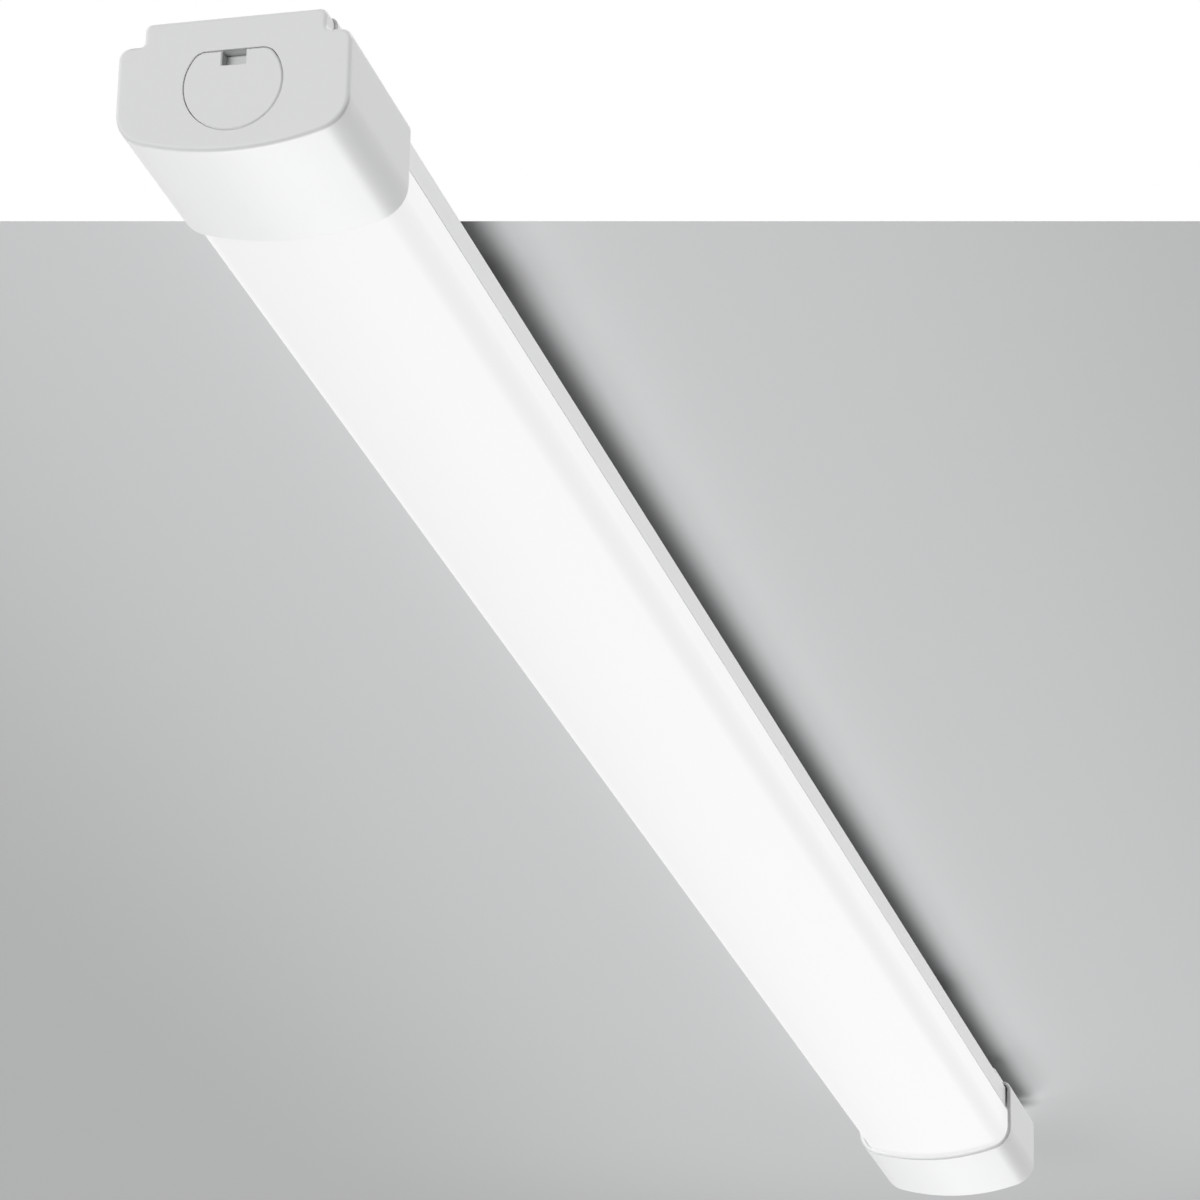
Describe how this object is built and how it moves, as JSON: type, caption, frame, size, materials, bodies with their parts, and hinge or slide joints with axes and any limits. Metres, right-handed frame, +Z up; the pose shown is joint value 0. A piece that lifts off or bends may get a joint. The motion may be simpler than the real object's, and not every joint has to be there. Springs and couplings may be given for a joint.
{
  "type": "vapor tight light fixture",
  "caption": "Slim linear ceiling light: opal diffuser under an extruded base, long sealed end caps with plugged D-shaped sockets, and spring clips for screwing it to a ceiling.",
  "frame": {"origin": "midway between the screw holes of the mounting clips, on the ceiling plane", "axes": "+X along the fixture towards its link end, +Z up into the ceiling"},
  "size_m": [1.2, 0.074, 0.0462],
  "materials": {
    "cap_plastic": "fine satin moulding",
    "cover_plastic": "fine satin moulding",
    "base_plastic": "satin extrusion",
    "opal_plastic": "opal, smooth",
    "clip_steel": "plain spring steel",
    "screw_steel": "zinc plated",
    "contact_brass": "turned",
    "socket_plastic": "satin moulding",
    "seal_rubber": "silicone",
    "tray_aluminium": "plain sheet",
    "board_white": "white solder mask",
    "chip_phosphor": "phosphor coat",
    "bridge_white": "moulded",
    "case_plastic": "moulded",
    "pcb_green": "solder mask",
    "terminal_green": "moulded",
    "fuse_ceramic": "tube with end caps",
    "choke_copper": "enamelled wire",
    "film_yellow": "boxed",
    "chip_black": "epoxy",
    "can_sleeve": "shrunk sleeve",
    "core_ferrite": "sintered",
    "winding_tape": "taped",
    "wire_brown": "insulation",
    "wire_blue": "insulation",
    "wire_red": "insulation",
    "wire_black": "insulation"
  },
  "bodies": {
    "fixture": {"base_profile": "base_plastic", "diffuser": "opal_plastic", "supply_end_cap": "cap_plastic", "link_end_cap": "cap_plastic", "supply_cap_gasket": "seal_rubber", "link_cap_gasket": "seal_rubber", "supply_socket_housing": "socket_plastic", "link_socket_housing": "socket_plastic", "supply_socket_pins": "contact_brass", "link_socket_contacts": "contact_brass", "gear_tray": "tray_aluminium", "led_board_supply_half": "board_white", "led_board_link_half": "board_white", "led_chips_supply_half": "chip_phosphor", "led_chips_link_half": "chip_phosphor", "board_link": "bridge_white", "board_screws": "screw_steel", "driver_case": "case_plastic", "driver_board": "pcb_green", "driver_terminals": "terminal_green", "driver_fuse": "fuse_ceramic", "driver_choke": "choke_copper", "driver_film_capacitor": "film_yellow", "driver_rectifier_and_controller": "chip_black", "driver_capacitors": "can_sleeve", "driver_transformer_core": "core_ferrite", "driver_transformer_winding": "winding_tape", "driver_screws": "screw_steel", "through_wire_live": "wire_brown", "through_wire_neutral": "wire_blue", "driver_wire_live": "wire_brown", "driver_wire_neutral": "wire_blue", "led_wire_plus": "wire_red", "led_wire_minus": "wire_black"},
    "supply_cover": {"supply_socket_cover": "cover_plastic", "supply_cover_seal": "seal_rubber"},
    "link_cover": {"link_socket_cover": "cover_plastic", "link_cover_seal": "seal_rubber"},
    "left_clip": {"left_mounting_clip": "clip_steel"},
    "right_clip": {"right_mounting_clip": "clip_steel"}
  },
  "joints": [
    {"name": "supply_cover_pull", "type": "slide", "parent": "fixture", "child": "supply_cover", "axis": [-1, 0, 0], "range_m": [0, 0.05]},
    {"name": "link_cover_pull", "type": "slide", "parent": "fixture", "child": "link_cover", "axis": [1, 0, 0], "range_m": [0, 0.05]},
    {"name": "left_clip_slide", "type": "slide", "parent": "fixture", "child": "left_clip", "axis": [1, 0, 0], "range_m": [-0.11, 0.3]},
    {"name": "right_clip_slide", "type": "slide", "parent": "fixture", "child": "right_clip", "axis": [1, 0, 0], "range_m": [-0.3, 0.11]}
  ]
}
